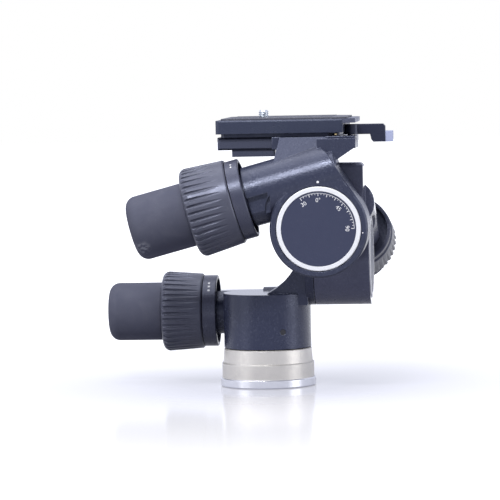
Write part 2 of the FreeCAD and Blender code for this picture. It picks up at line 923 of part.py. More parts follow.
def pan_housing():
    """Cylinder over the base, with an arm that rises to the lateral flange and the worm tube."""
    bottom = S.base_height + S.gap
    drum = cylinder(S.pan_body_radius, PAN_TOP - bottom, Place(z=bottom), "pan_drum")

    def arm(sketch):
        low = LATERAL_Z - S.drum_radius
        outline(sketch, [
            (S.flange_face - S.flange_thickness + 1.0, low + 1.0),
            (S.flange_face - S.flange_thickness + 1.0, LATERAL_Z + 18.0),
            (S.flange_face - S.flange_thickness - 1.0, LATERAL_Z + 18.0),
            (0.5, PAN_TOP - 0.4, S.arm_radius, "cw"),
            (0.5, low - 6.0),
            (S.pan_body_radius - 12.0, low - 6.0),
            (S.pan_body_radius - 12.0, low + 1.0),
        ])

    web = prism(arm, -S.arm_width / 2, S.arm_width, "XZ", "pan_arm")
    flange = cylinder(S.drum_radius, S.flange_thickness,
                      LATERAL_STACK.place.along(-S.flange_thickness), "pan_flange")
    tube, boss, spigot = knob_snout(PAN, S.boss_radius - 2.0, -18.0)
    case = doc.addObject("Part::Cut", "pan_worm_case")
    case.Base = fuse([tube, boss])
    case.Tool = box(40.0, 40.0, 6.0, Place(-44.0, 8.0, PAN_TOP - 0.3), "case_flat")
    outside = drum
    for thing in (web, flange, case, spigot):
        outside = fuse([outside, thing], "pan_outside")
    room = cylinder(PAN_ROOM, PAN_WORM_Z + S.wheel_width / 2 + 4.0 - bottom,
                    Place(z=bottom - 0.0))
    seat = cylinder(S.spindle_collar, S.flange_thickness,
                    LATERAL_STACK.place.along(-S.flange_thickness))
    turn = math.radians(number(S.plug_turn))
    inward = FreeCAD.Vector(math.cos(turn), math.sin(turn), 0)

    def plug_place(reach):
        return Place(reach * sine(S.plug_turn), -(reach * cosine(S.plug_turn)),
                     S.base_height + S.plug_rise, inward, -90.0)

    plug = cylinder(S.plug_radius, 3.6, plug_place(S.pan_body_radius + 0.6))
    inside = fuse([room, seat, plug] + knob_bores(PAN), "pan_inside")
    cut(outside, inside, "pan_housing")
    cylinder(S.plug_radius, 2.9, plug_place(S.pan_body_radius - 0.1), "plug").Label = "pan_plug"


def lateral_housing():
    """Drum about X with its worm tube, and the flange that carries the front tilt."""
    place = LATERAL_STACK.place
    drum = cylinder(S.drum_radius, LATERAL_STACK.width, place.along(S.gap), "lateral_drum")
    pad = Place(S.front_x, FRONT_FLANGE, FRONT_Z, X_AXIS, -90.0)
    clear = S.drum_radius + S.gap
    flange = cylinder(S.drum_radius - 2.4, -FRONT_FLANGE - clear, pad, "lateral_flange")
    half = LATERAL_STACK.width / 2
    root = cylinder(half - 1.0, -FRONT_FLANGE - 7.0,
                    Place(S.lateral_face - half, FRONT_FLANGE, FRONT_Z, X_AXIS, -90.0))
    top = FRONT_Z + 38.2

    def shoulder(sketch):
        outline(sketch, [
            (FRONT_FLANGE + 3.4, FRONT_Z),
            (10.0, LATERAL_Z),
            (27.0, LATERAL_Z + 22.0),
            (20.0, top - 26.0),
            (-6.0, top - 12.0),
            (-18.0, top),
            (FRONT_FLANGE + 6.4, top),
            (FRONT_FLANGE + 3.4, top - 3.0, 3.0, "ccw"),
        ])

    left = S.flange_face + 3.0
    right = S.lateral_face - 2.6

    def crown(sketch):
        """Seen from the dial side: straight sides and a rounded top."""
        low, corner = LATERAL_Z - 1.0, 2.6
        outline(sketch, [
            (left, low),
            (right, low),
            (right, top - corner),
            (right - corner, top, corner, "ccw"),
            (left + corner, top),
            (left, top - corner, corner, "ccw"),
        ])

    block = doc.addObject("Part::MultiCommon", "lateral_block")
    block.Shapes = [
        prism(shoulder, left - 1.0, right - left + 2.0, "YZ", "lateral_shoulder"),
        prism(crown, FRONT_FLANGE, 27.5 - FRONT_FLANGE, "XZ", "lateral_crown"),
    ]
    snout = knob_snout(LATERAL, S.boss_radius - 4.2, -20.0)
    outside = fuse([drum, flange, root, block] + snout, "lateral_outside")
    seat = cylinder(S.spindle_collar, S.flange_thickness, pad)
    inside = fuse([seat] + stack_bores(LATERAL_STACK) + knob_bores(LATERAL), "lateral_inside")
    cut(outside, inside, "lateral_housing")


def tilt_housing():
    """Drum about Y with its worm tube, and the leaning neck and shelf that carry the seat."""
    place = FRONT_STACK.place
    x, z, top = S.front_x, FRONT_Z, SEAT_Z
    drum = new_body("front_drum", place)
    end = S.drum_width + S.gap
    revolve(drum, [
        (0.0, S.gap), (S.drum_radius, S.gap), (S.drum_radius, end - S.cheek_step),
        (S.drum_radius - S.cheek_step, end), (0.0, end),
    ])
    near = S.front_worm_y - S.drum_width / 2
    side, rise = cosine(S.front_incline), sine(S.front_incline)
    foot = (x - TILT_REACH * rise, z + TILT_REACH * side)
    # the cheek's straight side touches the drum and climbs past the tube's axis to its top
    level, climb = cosine(S.cheek_angle), sine(S.cheek_angle)
    off = S.cheek_angle - S.front_incline
    touch = (x + S.drum_radius * level, z + S.drum_radius * climb)

    def on_side(height, inset=0.0):
        """Point of the straight side at a distance above the axis, square to the tube."""
        run = (height - S.drum_radius * sine(off)) / cosine(off)
        return (touch[0] - run * climb - inset * level, touch[1] + run * level - inset * climb)

    corner = on_side(TILT_REACH)
    peak = on_side(TILT_REACH + S.tube_radius + 0.6)
    half_turn = off * -0.5 + 45.0
    reach = S.cheek_round * sine(half_turn) / cosine(half_turn)
    round_start = (peak[0] - reach * side, peak[1] - reach * rise)
    round_end = (peak[0] + reach * climb, peak[1] - reach * level, S.cheek_round, "cw")

    def cheek(sketch):
        outline(sketch, [(x, z), touch, corner, foot])

    def cheek_face(sketch):
        step = S.cheek_step
        outline(sketch, [
            (x, z), (touch[0] - step * level, touch[1] - step * climb),
            on_side(TILT_REACH, step), foot,
        ])

    def past_cheek(sketch):
        """What lies past the straight side and the rounded peak."""
        outline(sketch, [
            (touch[0] + 30.0 * climb, touch[1] - 30.0 * level),
            (touch[0] + 30.0, touch[1] - 30.0 * level),
            (touch[0] + 30.0, peak[1] + 20.0),
            (round_start[0], peak[1] + 20.0),
            round_start,
            round_end,
        ])

    wedge = prism(cheek, near + S.cheek_step, S.drum_width - 4.0, "XZ", "front_cheek")
    face = prism(cheek_face, near, S.cheek_step + 0.2, "XZ", "front_cheek_face")
    back = S.drum_radius + 3.0
    tube = cylinder(S.tube_radius, FRONT.ring_at + back - 0.5, FRONT.place.along(-back),
                    "front_tube")
    past = prism(past_cheek, near - 2.0, S.drum_width + 4.0, "XZ", "past_cheek")
    tube_cut = doc.addObject("Part::Cut", "tube_end")
    tube_cut.Base = tube
    behind = box(120.0, 20.0, 120.0, Place(x - 60.0, near + S.drum_width, z - 30.0), "behind")
    tube_cut.Tool = fuse([past, behind], "tube_trim")

    def neck(sketch):
        left, right = S.neck_left, S.neck_right
        outline(sketch, [
            (left - 4.0, top - 31.0),
            (right - 3.0, top - 31.0),
            (right + 0.2, top - 15.5),
            (right - 2.8, top - 6.0),
            (right - 8.0, top, 9.0, "ccw"),
            (left + 1.0, top),
            (left - 2.2, top - 14.0),
        ])

    def lean(sketch):
        front, back = S.neck_front, S.neck_back
        outline(sketch, [
            (front, top - 31.0),
            (back, top - 31.0),
            (back, top),
            (front + 17.0, top),
            (front + 5.4, top - 17.0),
        ])

    post = doc.addObject("Part::MultiCommon", "post")
    post.Shapes = [
        prism(neck, S.neck_front - 1.0, S.neck_back - S.neck_front + 1.0, "XZ", "neck"),
        prism(lean, S.neck_left - 8.0, S.neck_right - S.neck_left + 16.0, "YZ", "neck_lean"),
    ]

    def gusset(sketch):
        right = S.neck_right
        outline(sketch, [
            (right - 12.0, top - 18.0),
            (right - 1.0, top - 14.5),
            (right + 11.6, top - 6.2),
            (right + 11.6, top - 1.0),
            (right - 12.0, top - 1.0),
        ])

    rib = prism(gusset, S.neck_back - 23.0, 18.0, "XZ", "gusset")

    def shelf(sketch):
        left, right, out = S.neck_left - 4.6, S.neck_right, LEVER_X + 3.9
        outline(sketch, [
            (left, S.neck_back - 4.0),
            (out, S.neck_back - 4.0),
            (out, LEVER_Y + 7.0),
            (right, S.shelf_back),
            (left, S.shelf_back),
        ])

    table = new_body("shelf")
    extrude(table, shelf, S.shelf_height, offset=SEAT_Z - S.shelf_height)
    at = FRONT.place.along
    snout = [
        cylinder(S.boss_radius - 1.0, FRONT.web + 20.0, at(-20.0)),
        cylinder(S.spigot_radius, FRONT.spigot_end + 20.0, at(-20.0)),
    ]
    outside = drum
    for thing in [wedge, face, post, table, rib, tube_cut] + snout:
        outside = fuse([outside, thing], "tilt_outside")

    def pocket(sketch):
        """Flat on the lower front of the tube, between the index ring and the drum."""
        start, end = -S.front_ring_at - 8.0, S.pocket_end * -1.0
        outline(sketch, [
            (foot[0] + start * side, foot[1] + start * rise),
            (foot[0] + start * side, z - 2.0),
            (foot[0] + end * side + 0.6, z - 2.0),
            (foot[0] + end * side, foot[1] + end * rise),
        ])

    def notch(sketch):
        """Shadow slot where the flat meets the drum."""
        at_x, high, low = foot[0] - S.pocket_end * side + 1.4, foot[1] - 8.0, z + 3.4
        outline(sketch, [(at_x, high), (at_x, low, 13.0, "ccw")])

    flat = prism(pocket, near - 3.0, S.pocket_depth + 3.0, "XZ", "pocket")
    slot = prism(notch, near - 3.0, S.pocket_depth + 4.6, "XZ", "notch")
    pin = cylinder(LEVER_PIN, S.shelf_height - 2.0,
                   Place(LEVER_X, LEVER_Y, SEAT_Z - S.shelf_height + 2.0))
    inside = fuse([pin, flat, slot] + stack_bores(FRONT_STACK) + knob_bores(FRONT), "tilt_inside")
    cut(outside, inside, "tilt_housing")


# ---- quick-release seat ----

LEVER_X = S.seat_right + 4.0
LEVER_Y = -12.0
LEVER_PIN = Size(2.5, "2.5")


def plan(left, right, width, corner, end_corner):
    """An outline in plan with cut corners; the left pair and the right pair can differ."""
    def draw(sketch):
        side = width / 2
        outline(sketch, [
            (left + corner, -side),
            (right - end_corner, -side),
            (right, -side + end_corner),
            (right, side - end_corner),
            (right - end_corner, side),
            (left + corner, side),
            (left, side - corner),
            (left, -side + corner),
        ])
    return draw


def seat_body():
    """Cast receiver: a slab on a narrower foot, for the rim to stand round."""
    body = new_body("plate_seat")
    half = S.plate_width + 0.8
    foot = plan(S.seat_left + 3.0, S.seat_right - 3.0, S.plate_width, 2.0, 6.0)
    slab = plan(S.plate_left - 0.4, S.seat_right, half, 0.6, 6.0)
    extrude(body, foot, S.seat_foot, offset=SEAT_Z)
    low = SEAT_Z + S.seat_foot
    extrude(body, slab, PLATE_BOTTOM - low, offset=low)

    def screw_hole(sketch):
        for x, y in SEAT_SCREWS:
            circle(sketch, x, y, 2.5)

    extrude(body, screw_hole, 20.0, offset=SEAT_TOP, cut=True)

    def hub_room(sketch):
        circle(sketch, LEVER_X, LEVER_Y, S.lever_hub + 0.4)

    extrude(body, hub_room, 20.0, offset=SEAT_TOP, cut=True)

    def catch_hole(sketch):
        circle(sketch, CATCH_X, CATCH_Z, S.catch_radius + S.fit)

    extrude(body, catch_hole, 8.0, plane="XZ", offset=S.plate_width / 2, cut=True)


def seat_rim():
    """Raised rim round three sides of the plate, with broken edges."""
    body = new_body("seat_rim")
    half, rim = S.plate_width / 2, S.seat_rim
    low = SEAT_Z + S.seat_foot

    def outer(sketch):
        left, right, side, bevel = S.seat_left, S.seat_right, half + rim, 1.8
        wall, inner = S.plate_left - 0.4, half + 0.4
        outline(sketch, [
            (left + bevel, -side),
            (right, -side),
            (right, -inner),
            (wall, -inner),
            (wall, inner),
            (right, inner),
            (right, side),
            (left + bevel, side),
            (left, side - bevel),
            (left, bevel - side),
        ])

    extrude(body, outer, SEAT_TOP - low, offset=low)
    dress(body, "Chamfer", 0.7, top_loop)


PLATE_BOTTOM = PLATE_TOP - S.pad_thickness - S.plate_thickness
CATCH_X = S.neck_right - 1.6
CATCH_Z = SEAT_Z + S.seat_foot / 2
SEAT_SCREWS = [
    (S.neck_left + 7.0, -22.0),
    (S.neck_right - 7.0, -22.0),
    (S.neck_left + 7.0, 12.0),
    (S.neck_right - 7.0, 12.0),
]


def top_loop(edge):
    """The outer top edges of the seat's long sides."""
    box_ = edge.BoundBox
    side = number(S.plate_width / 2 + S.seat_rim)
    return (box_.ZMin > number(SEAT_TOP) - 0.01 and abs(abs(box_.YMin) - side) < 0.01
            and abs(box_.YMax - box_.YMin) < 0.01)


def seat_screws():
    """Four cap screws through the seat into the shelf."""
    screws = []
    for i, (x, y) in enumerate(SEAT_SCREWS):
        top = PLATE_BOTTOM - 0.6
        blank = cylinder(2.5, top - SEAT_Z, Place(x, y, SEAT_Z))
        socket = hex_socket(1.6, 2.6, Place(x, y, top - 2.0))
        screws.append(cut(blank, socket, f"seat_screw_{i}"))
    return group(screws, "seat_screws")


def level_block():
    """Stepped block under the seat's knob side, with a window for its spirit level."""
    body = new_body("level_block")
    left, right = S.seat_left + 0.6, S.neck_left - 5.0
    front, back = -S.plate_width / 2 + 2.0, -14.0

    def upper(sketch):
        outline(sketch, [(left, front), (right, front), (right, back), (left, back)])

    def lower(sketch):
        outline(sketch, [
            (left + 8.8, front + 2.0), (right + 1.7, front + 2.0),
            (right + 1.7, back - 2.0), (left + 8.8, back - 2.0),
        ])

    step = S.shelf_height + 0.2
    extrude(body, upper, step, offset=SEAT_Z - step)
    extrude(body, lower, 4.2, offset=SEAT_Z - step - 4.2)

    def window(sketch):
        outline(sketch, [
            (front + 4.0, SEAT_Z - 6.3), (back - 4.0, SEAT_Z - 6.3),
            (back - 4.0, SEAT_Z - 0.9), (front + 4.0, SEAT_Z - 0.9),
        ])

    extrude(body, window, 6.0, plane="YZ", offset=left, cut=True, back=True)
    corners = [number(left), number(front)]

    def front_edges(edge):
        """The front and knob-side outer edges of the upper block."""
        box_ = edge.BoundBox
        if box_.YMax - box_.YMin > 0.01 or abs(box_.YMin - corners[1]) > 0.01:
            return False
        foot = number(SEAT_Z - step) - 0.1
        return box_.ZMin > foot and box_.XMax < number(right) - 0.01 or (
            abs(box_.ZMax - box_.ZMin) < 0.01 and box_.ZMin > foot)

    dress(body, "Chamfer", 1.1, front_edges)
    vial = cylinder(2.5, back - front - 8.4,
                    Place(left + 3.0, front + 4.2, SEAT_Z - 3.6, X_AXIS, -90.0), "vial")
    vial.Label = "level_vial"


def plate_parts():
    body = new_body("quick_release_plate")
    shape = plan(S.plate_left, S.plate_right, S.plate_width, S.plate_corner, 12.0)
    extrude(body, shape, S.plate_thickness, offset=PLATE_BOTTOM)

    def hole(sketch):
        circle(sketch, 0.0, 0.0, S.screw_radius + 0.25)

    def sink(sketch):
        circle(sketch, 0.0, 0.0, 7.4)

    extrude(body, hole, 10.0, offset=PLATE_TOP, cut=True)
    extrude(body, sink, 1.9, offset=PLATE_BOTTOM, cut=True, back=True)
    pad = new_body("plate_pad")
    inset = plan(S.plate_left + 1.2, S.plate_right - 5.0, S.plate_width - 2.4,
                 S.plate_corner, 9.0)
    extrude(pad, inset, S.pad_thickness, offset=PLATE_BOTTOM + S.plate_thickness)
    extrude(pad, hole, 10.0, offset=PLATE_TOP, cut=True)
    screw = new_body("camera_screw")
    low = PLATE_BOTTOM + 0.2
    revolve(screw, [
        (0.0, low), (7.0, low), (7.0, low + 1.4), (S.screw_radius - 0.3, low + 1.4),
        (S.screw_radius - 0.3, PLATE_TOP + 0.1), (S.screw_radius, PLATE_TOP + 0.1),
        (S.screw_radius, PLATE_TOP + S.screw_height - 0.6),
        (S.screw_radius - 0.6, PLATE_TOP + S.screw_height),
        (0.0, PLATE_TOP + S.screw_height),
    ])


def lever_parts():
    """Clamp lever on a vertical pin; its outer end turns down to a pale tip."""
    body = new_body("clamp_lever")
    low = SEAT_Z + 0.3
    top = PLATE_BOTTOM - 1.2
    end = LEVER_X + S.lever_length
    drop = low - S.lever_drop

    def side(sketch):
        outline(sketch, [
            (LEVER_X, low), (end - 9.4, low), (end - 8.6, drop + 1.2),
            (end - 7.4, drop), (end, drop), (end, top - 1.4), (end - 1.4, top),
            (LEVER_X, top),
        ])

    def hub(sketch):
        circle(sketch, LEVER_X, LEVER_Y, S.lever_hub)

    def bore(sketch):
        circle(sketch, LEVER_X, LEVER_Y, LEVER_PIN + S.fit)

    extrude(body, side, S.lever_width, plane="XZ", offset=-LEVER_Y + S.lever_width / 2, back=True)
    extrude(body, hub, top - low, offset=low)
    extrude(body, bore, 40.0, offset=top + 5.0, cut=True)
    tip = box(S.tip_length, S.lever_width - 1.0, 6.8,
              Place(end, LEVER_Y - (S.lever_width - 1.0) / 2, drop), "lever_tip_box")
    tip.Label = "lever_tip"
    pin = cylinder(LEVER_PIN, top - SEAT_Z + S.shelf_height - 2.0,
                   Place(LEVER_X, LEVER_Y, SEAT_Z - S.shelf_height + 2.0), "pin")
    pin.Label = "lever_pin"
    radius = S.catch_radius
    catch = new_body("safety_catch", Place(CATCH_X, -S.plate_width / 2, CATCH_Z, X_AXIS, 90.0))
    revolve(catch, [
        (0.0, -5.0), (radius, -5.0), (radius, 1.7), (radius - 0.3, 2.0), (0.0, 2.0),
    ])


def build():
    base_disc()
    base_screws()
    pan_spindle()
    worm_wheel("pan_worm_wheel", S.pan_module, S.pan_worm_radius,
               Place(z=PAN_WORM_Z), 90.0)
    half = S.wheel_width / 2
    wheel_nut("pan_wheel_nut", Place(z=PAN_WORM_Z + half), 3.2)
    low = S.base_height + S.gap
    ring("pan_retainer", S.spindle_collar + S.gap, PAN_ROOM, low, low + S.retainer_thickness)
    ring("pan_friction_washer", S.spindle_collar, S.pan_flange_radius,
         low + S.retainer_thickness + 0.1, low + S.retainer_thickness + S.gap + 0.4)
    for knob in (PAN, LATERAL, FRONT):
        knob_parts(knob)
    for stack in (LATERAL_STACK, FRONT_STACK):
        stack_parts(stack)
    pan_housing()
    lateral_housing()
    tilt_housing()
    seat_body()
    seat_rim()
    seat_screws()
    level_block()
    plate_parts()
    lever_parts()


NODES = (
    ["base_disc", "base_screws", "pan_spindle", "pan_worm_wheel", "pan_wheel_nut",
     "pan_friction_washer", "pan_retainer", "pan_housing", "pan_plug",
     "lateral_housing", "tilt_housing", "plate_seat", "seat_rim", "seat_screws", "level_block",
     "level_vial", "quick_release_plate", "plate_pad", "camera_screw", "clamp_lever",
     "lever_tip", "lever_pin", "safety_catch"]
    + [f"{n}_{p}" for n in ("lateral", "front")
       for p in ("spindle", "worm_wheel", "wheel_nut", "dial", "dial_ring")]
    + [f"{n}_{p}" for n in ("pan", "lateral", "front")
       for p in ("worm", "core", "grip", "collar", "index_ring", "clutch_spring", "sleeve",
                 "end_bush")]
)


def write():
    """Checks every object and writes each sub-part."""
    doc.recompute()
    for thing in doc.Objects:
        if "Invalid" in thing.State or "Error" in thing.State:
            raise RuntimeError(f"{thing.Label} failed: {thing.State}")
    os.makedirs("parts", exist_ok=True)
    by_label = {thing.Label: thing for thing in doc.Objects}
    for node in NODES:
        shape = by_label[node].Shape
        if shape.isNull() or not shape.isValid():
            raise RuntimeError(f"{node} has no valid shape")
        shape.exportStep(f"parts/{node}.step")


build()
write()
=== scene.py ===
import bmesh
import bpy
import math
from mathutils import Matrix, Vector


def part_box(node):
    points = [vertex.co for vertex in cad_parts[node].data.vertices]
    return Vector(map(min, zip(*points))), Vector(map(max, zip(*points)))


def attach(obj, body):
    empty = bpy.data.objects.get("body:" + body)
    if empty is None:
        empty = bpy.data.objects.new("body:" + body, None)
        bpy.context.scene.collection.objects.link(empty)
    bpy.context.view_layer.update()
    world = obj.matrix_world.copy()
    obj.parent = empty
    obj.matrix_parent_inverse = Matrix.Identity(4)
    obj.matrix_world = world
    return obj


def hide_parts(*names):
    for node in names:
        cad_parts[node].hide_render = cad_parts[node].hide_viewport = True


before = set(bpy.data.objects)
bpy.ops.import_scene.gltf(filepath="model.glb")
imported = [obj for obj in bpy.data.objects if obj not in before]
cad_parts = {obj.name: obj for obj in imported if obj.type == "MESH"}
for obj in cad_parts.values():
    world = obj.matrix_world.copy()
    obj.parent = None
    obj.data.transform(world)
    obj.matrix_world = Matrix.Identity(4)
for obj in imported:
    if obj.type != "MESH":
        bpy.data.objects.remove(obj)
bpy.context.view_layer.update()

# ---- tripod base ----
# Turned aluminium disc in three bands. The two upper bands are bead-blasted between bright cut
# edges, the foot is polished. It screws on to a 3/8 inch tripod stud.


def new_group(name, inputs, outputs):
    """A shader node group with its sockets; returns its tree and its input and output nodes."""
    tree = bpy.data.node_groups.new(name, "ShaderNodeTree")
    for title, kind, value in inputs:
        socket = tree.interface.new_socket(title, in_out="INPUT", socket_type=kind)
        socket.default_value = value
    for title, kind in outputs:
        tree.interface.new_socket(title, in_out="OUTPUT", socket_type=kind)
    return tree, tree.nodes.new("NodeGroupInput"), tree.nodes.new("NodeGroupOutput")


def add(tree, kind, settings=None, **inputs):
    """A node with its settings; each input is a value or another node's output."""
    node = tree.nodes.new("ShaderNode" + kind)
    for name, value in (settings or {}).items():
        setattr(node, name, value)
    for name, value in inputs.items():
        key = int(name[1:]) if name[0] == "_" else name.replace("_", " ")
        if isinstance(value, bpy.types.NodeSocket):
            tree.links.new(value, node.inputs[key])
        else:
            node.inputs[key].default_value = value
    return node


def blend_colour(tree, factor, first, second):
    """Mixes two colours, each a colour or an output, by a factor."""
    mix = add(tree, "Mix", {"data_type": "RGBA"}, _0=factor, _6=first, _7=second)
    return mix.outputs[2]


def ramp(tree, value, low, high, to_low=0.0, to_high=1.0):
    """Stretches a value from low..high to to_low..to_high, clamped."""
    return add(tree, "MapRange", None, Value=value, From_Min=low, From_Max=high,
               To_Min=to_low, To_Max=to_high).outputs[0]


def math_node(tree, operation, first, second=0.0):
    """The result of one Math node."""
    return add(tree, "Math", {"operation": operation}, _0=first, _1=second).outputs[0]


def make_grain():
    """Fine surface grain: blasting, powder coat or matt rubber, by its size and depth."""
    tree, given, result = new_group(
        "surface_grain",
        [("Size mm", "NodeSocketFloat", 0.4), ("Contrast", "NodeSocketFloat", 1.0)],
        [("Height", "NodeSocketFloat"), ("Fleck", "NodeSocketFloat")],
    )
    place = add(tree, "TexCoord").outputs["Object"]
    scale = math_node(tree, "DIVIDE", 1000.0, given.outputs["Size mm"])
    fine = add(tree, "TexNoise", None, Vector=place, Scale=scale, Detail=3.0, Roughness=0.6)
    height = ramp(tree, fine.outputs["Fac"], 0.3, 0.7)
    tree.links.new(math_node(tree, "MULTIPLY", height, given.outputs["Contrast"]),
                   result.inputs["Height"])
    tree.links.new(ramp(tree, fine.outputs["Fac"], 0.56, 0.72), result.inputs["Fleck"])
    return tree


def make_edges():
    """Softened edges: a rounded normal, and a broken mask along the edges that hands rub; on powder
    coat the same mask also carries a painted edge highlight.
    """
    tree, given, result = new_group(
        "worn_edges",
        [("Radius mm", "NodeSocketFloat", 0.4)],
        [("Normal", "NodeSocketVector"), ("Rub", "NodeSocketFloat")],
    )
    radius = math_node(tree, "DIVIDE", given.outputs["Radius mm"], 1000.0)
    soft = add(tree, "Bevel", {"samples": 6}, Radius=radius).outputs[0]
    flat = add(tree, "NewGeometry").outputs["Normal"]
    dot = add(tree, "VectorMath", {"operation": "DOT_PRODUCT"}, _0=soft, _1=flat).outputs[1]
    edge = ramp(tree, dot, 0.99, 0.8)
    place = add(tree, "TexCoord").outputs["Object"]
    patch = add(tree, "TexNoise", None, Vector=place, Scale=180.0, Detail=4.0)
    broken = ramp(tree, patch.outputs["Fac"], 0.42, 0.62)
    tree.links.new(soft, result.inputs["Normal"])
    tree.links.new(math_node(tree, "MULTIPLY", edge, broken), result.inputs["Rub"])
    return tree


def make_smudges():
    """Wide faint smudges and dust where the part is handled."""
    tree, given, result = new_group(
        "handling_smudges",
        [("Size mm", "NodeSocketFloat", 12.0)],
        [("Smudge", "NodeSocketFloat"), ("Dust", "NodeSocketFloat")],
    )
    place = add(tree, "TexCoord").outputs["Object"]
    scale = math_node(tree, "DIVIDE", 1000.0, given.outputs["Size mm"])
    wide = add(tree, "TexNoise", None, Vector=place, Scale=scale, Detail=5.0, Roughness=0.65,
               Distortion=0.6)
    speck = add(tree, "TexVoronoi", None, Vector=place, Scale=700.0)
    dust = ramp(tree, speck.outputs["Distance"], 0.13, 0.05)
    rare = ramp(tree, wide.outputs["Fac"], 0.52, 0.66)
    tree.links.new(ramp(tree, wide.outputs["Fac"], 0.4, 0.7), result.inputs["Smudge"])
    tree.links.new(math_node(tree, "MULTIPLY", dust, rare), result.inputs["Dust"])
    return tree


GRAIN = make_grain()
EDGES = make_edges()
SMUDGES = make_smudges()


def effect(tree, group, **inputs):
    """Places a shared effect in a material and returns its outputs."""
    return add(tree, "Group", {"node_tree": group}, **inputs).outputs


def coat(name, colour, light, rub, rough, grain_mm, depth_mm, edge_mm=0.4, metallic=0.0,
         smudge=0.25, edge_wear_and_highlight_share=0.5, sheen_tint=(1.0, 1.0, 1.0), fleck=0.0):
    """A finish with fine grain, faint smudges, paler rubbed edges and, if given, pale flecks; on
    powder coat the paler edges are also a painted edge highlight and the flecks are painted glints.
    """
    finish = bpy.data.materials.new(name)
    finish.use_nodes = True
    tree = finish.node_tree
    shader = tree.nodes["Principled BSDF"]
    grain = effect(tree, GRAIN, Size_mm=grain_mm)
    edges = effect(tree, EDGES, Radius_mm=edge_mm)
    marks = effect(tree, SMUDGES)
    base = (*colour, 1.0)
    dust_grey = (0.35, 0.35, 0.38)
    for mask, share, over in ((marks["Smudge"], smudge, light), (marks["Dust"], smudge, dust_grey),
                              (grain["Fleck"], fleck, rub), (edges["Rub"], edge_wear_and_highlight_share, rub)):
        base = blend_colour(tree, math_node(tree, "MULTIPLY", mask, share), base, (*over, 1.0))
    tree.links.new(base, shader.inputs["Base Color"])
    clean_rough, handled_rough, fleck_gloss = rough + 0.04, rough - 0.06, 0.12
    sheen = ramp(tree, marks["Smudge"], 0.0, 1.0, clean_rough, handled_rough)
    sheen = math_node(tree, "SUBTRACT", sheen,
                      math_node(tree, "MULTIPLY", grain["Fleck"], fleck_gloss))
    tree.links.new(sheen, shader.inputs["Roughness"])
    shader.inputs["Metallic"].default_value = metallic
    shader.inputs["Specular Tint"].default_value = (*sheen_tint, 1.0)
    bump = add(tree, "Bump", None, Strength=0.6, Distance=depth_mm / 1000.0,
               Height=grain["Height"], Normal=edges["Normal"])
    tree.links.new(bump.outputs[0], shader.inputs["Normal"])
    return finish, tree, shader


def wear(node, finish):
    """Gives a CAD node its finish."""
    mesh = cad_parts[node].data
    mesh.materials.clear()
    mesh.materials.append(finish)


def base_finish():
    """Blasted metal, polished over the lowest 5.4 mm."""
    foot_low, foot_high = 0.0052, 0.0056
    foot_colour, foot_rough = (0.72, 0.73, 0.79, 1.0), 0.2
    finish, tree, shader = coat(
        "base_aluminium", (0.58, 0.56, 0.535), (0.65, 0.625, 0.585), (0.82, 0.82, 0.83),
        0.42, 0.5, 0.04, 0.3, metallic=0.6, smudge=0.8)
    place = add(tree, "TexCoord").outputs["Object"]
    height = add(tree, "SeparateXYZ", None, Vector=place).outputs["Z"]
    foot = ramp(tree, height, foot_low, foot_high, 1.0, 0.0)
    colour = shader.inputs["Base Color"].links[0].from_socket
    tree.links.new(blend_colour(tree, foot, colour, foot_colour), shader.inputs["Base Color"])
    rough = shader.inputs["Roughness"].links[0].from_socket
    polished = add(tree, "Mix", {"data_type": "FLOAT"}, _0=foot, _2=rough, _3=foot_rough)
    tree.links.new(polished.outputs[0], shader.inputs["Roughness"])
    tapped_bore(tree, shader, place)
    return finish


def tapped_bore(tree, shader, place):
    """Thread of 16 turns to the inch round the socket's wall, 4.0 mm from the axis."""
    pitch, thread_depth = 0.0254 / 16, 0.0008
    wall_reach, wall_end = 0.0041, 0.0042
    apart = add(tree, "SeparateXYZ", None, Vector=place).outputs
    turn = math_node(tree, "DIVIDE", math_node(tree, "ARCTAN2", apart["Y"], apart["X"]),
                     math.tau)
    climb = math_node(tree, "DIVIDE", apart["Z"], pitch)
    ridge = math_node(tree, "PINGPONG", math_node(tree, "ADD", turn, climb), 0.5)
    flat = add(tree, "VectorMath", {"operation": "MULTIPLY"}, _0=place, _1=(1.0, 1.0, 0.0))
    reach = add(tree, "VectorMath", {"operation": "LENGTH"}, _0=flat.outputs[0]).outputs["Value"]
    wall = ramp(tree, reach, wall_reach, wall_end, 1.0, 0.0)
    bump = add(tree, "Bump", None, Strength=wall, Distance=thread_depth, Height=ridge,
               Normal=shader.inputs["Normal"].links[0].from_socket)
    tree.links.new(bump.outputs[0], shader.inputs["Normal"])


wear("base_disc", base_finish())

# ---- base screws, spindles, nuts, washers and retainer ----
# Turned and hexagonal steel parts, left bright from the lathe with fine tool rings. They carry the
# axes, hold the wheels and fix the base, the seat and the lever.


def turned_metal(name, colour, rough, ring_width):
    """Bare metal with fine tool rings across it; they stand closer for a smaller ring_width."""
    ring_scale, ring_depth = 1000.0 / ring_width / 6.0, 0.00001
    finish, tree, shader = coat(name, colour, tuple(c * 1.15 for c in colour),
                                tuple(min(c * 1.5, 0.9) for c in colour), rough, 0.5, 0.01,
                                0.2, metallic=1.0, smudge=0.5)
    place = add(tree, "TexCoord").outputs["Object"]
    rings = add(tree, "TexWave", {"bands_direction": "DIAGONAL"}, Vector=place,
                Scale=ring_scale, Distortion=0.4)
    old = shader.inputs["Normal"].links[0].from_socket
    bump = add(tree, "Bump", None, Strength=0.25, Distance=ring_depth,
               Height=rings.outputs["Fac"], Normal=old)
    tree.links.new(bump.outputs[0], shader.inputs["Normal"])
    return finish


steel = turned_metal("turned_steel", (0.5, 0.5, 0.52), 0.32, 0.12)
for node in ("base_screws", "pan_spindle", "pan_wheel_nut", "pan_retainer", "seat_screws",
             "lateral_spindle", "lateral_wheel_nut", "front_spindle", "front_wheel_nut",
             "lever_pin"):
    wear(node, steel)

# ---- worm gears ----
# Bronze wheels of 48 teeth run against hardened steel worms. Each worm turns in two bronze
# bushes, and a conical spring washer stands behind its clutch collar.

